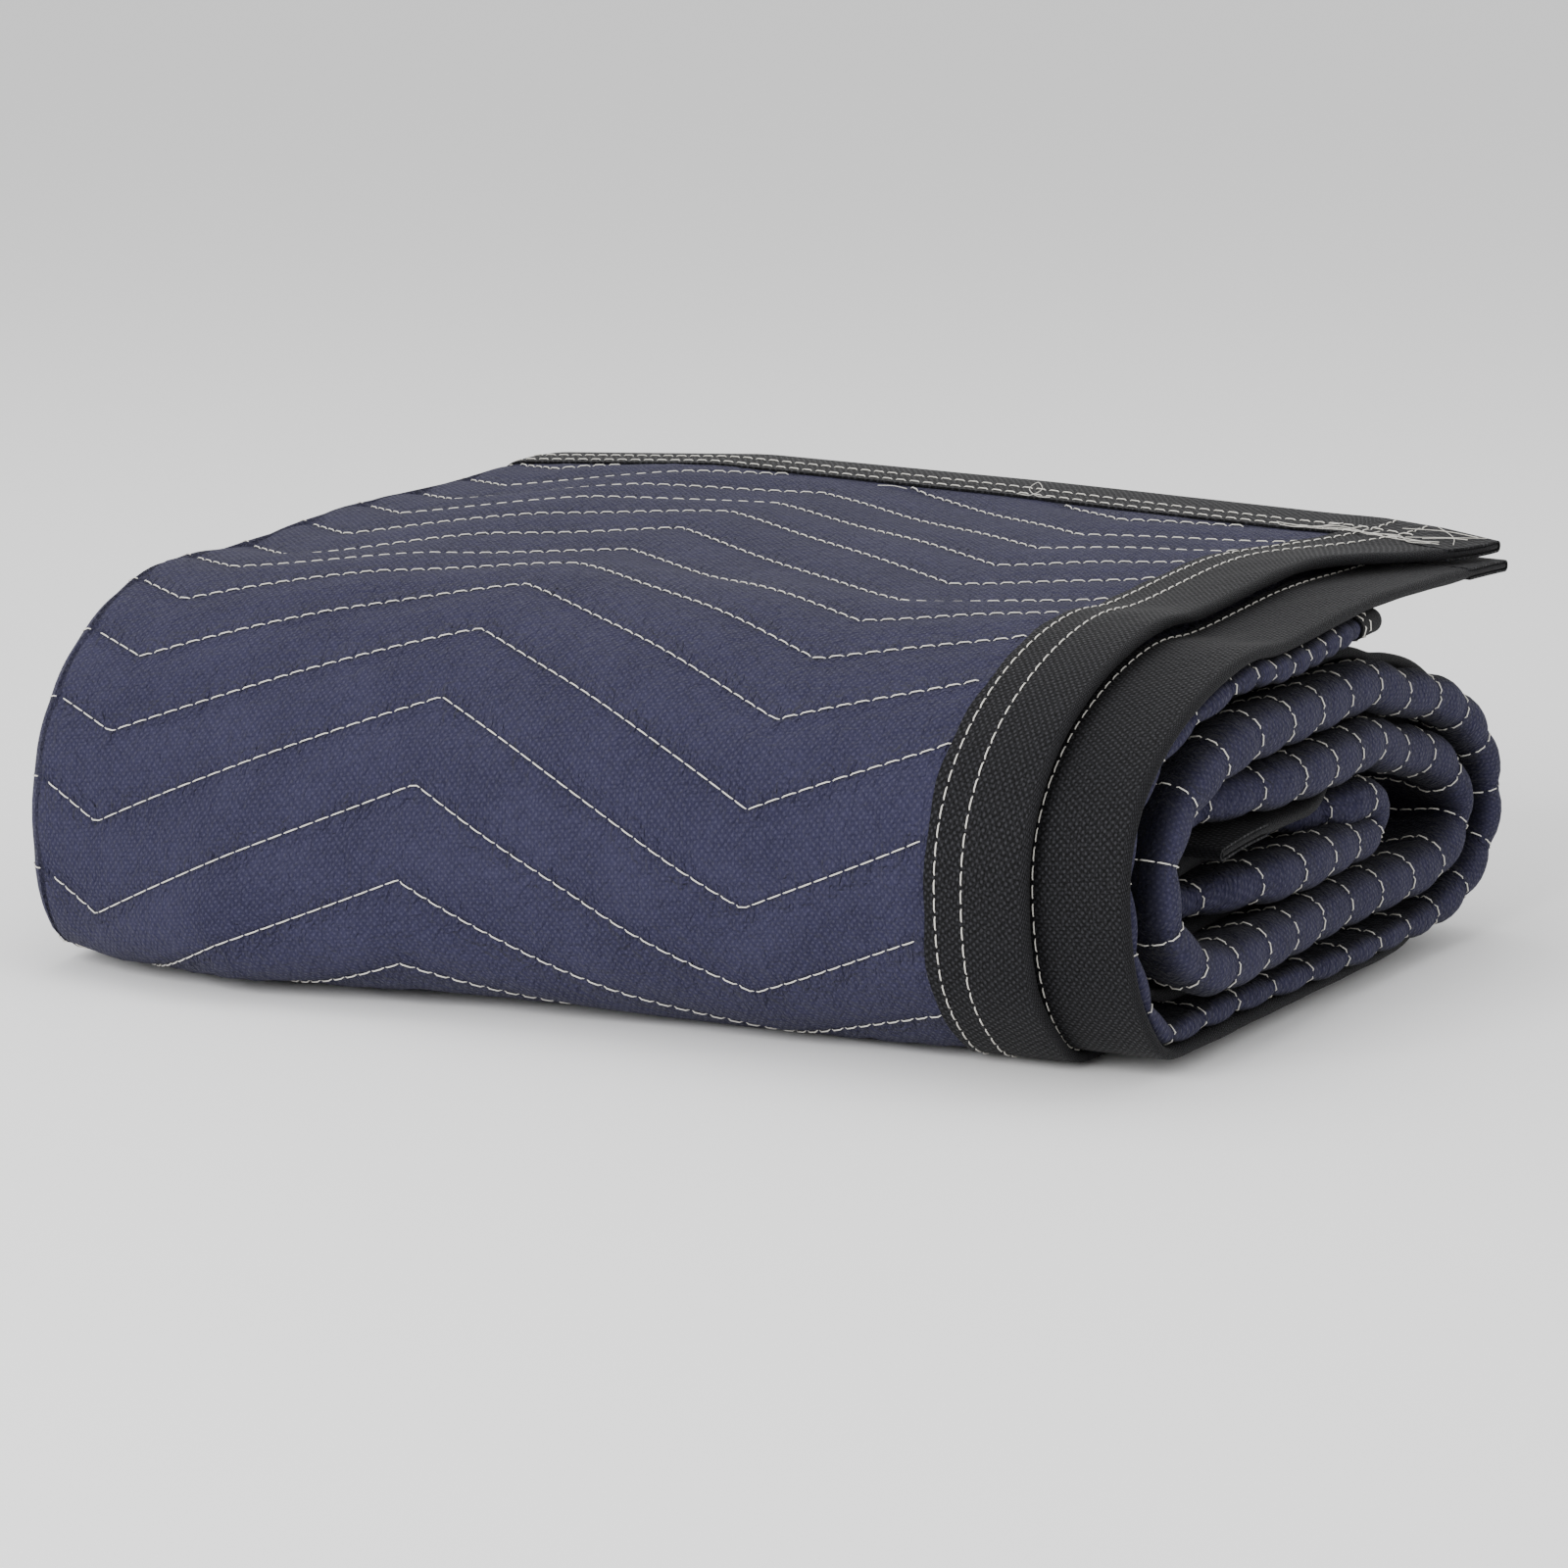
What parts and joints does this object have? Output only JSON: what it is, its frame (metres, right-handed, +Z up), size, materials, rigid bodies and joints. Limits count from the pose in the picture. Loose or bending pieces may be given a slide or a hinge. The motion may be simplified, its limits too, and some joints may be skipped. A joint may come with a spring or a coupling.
{
  "type": "folded moving blanket",
  "caption": "Quilted moving blanket folded lengthwise into layers and rolled up flat, with bound edges shown as a spiral at one end.",
  "frame": {"origin": "centre of the bundle's box, on the surface it rests on", "axes": "+Z up, +X along the bundle's long side towards the end that shows the spiral, -Y towards the long front"},
  "size_m": [0.4638, 0.4124, 0.1597],
  "materials": {
    "navy_nonwoven": "dull navy nonwoven with a fine embossed dot pattern",
    "black_nonwoven": "dull black nonwoven tape"
  },
  "bodies": {
    "root": {"quilted_cloth": "navy_nonwoven", "side_binding_outer": "black_nonwoven", "side_binding_under": "black_nonwoven", "end_binding_tail": "black_nonwoven", "end_binding_core": "black_nonwoven"}
  },
  "joints": []
}
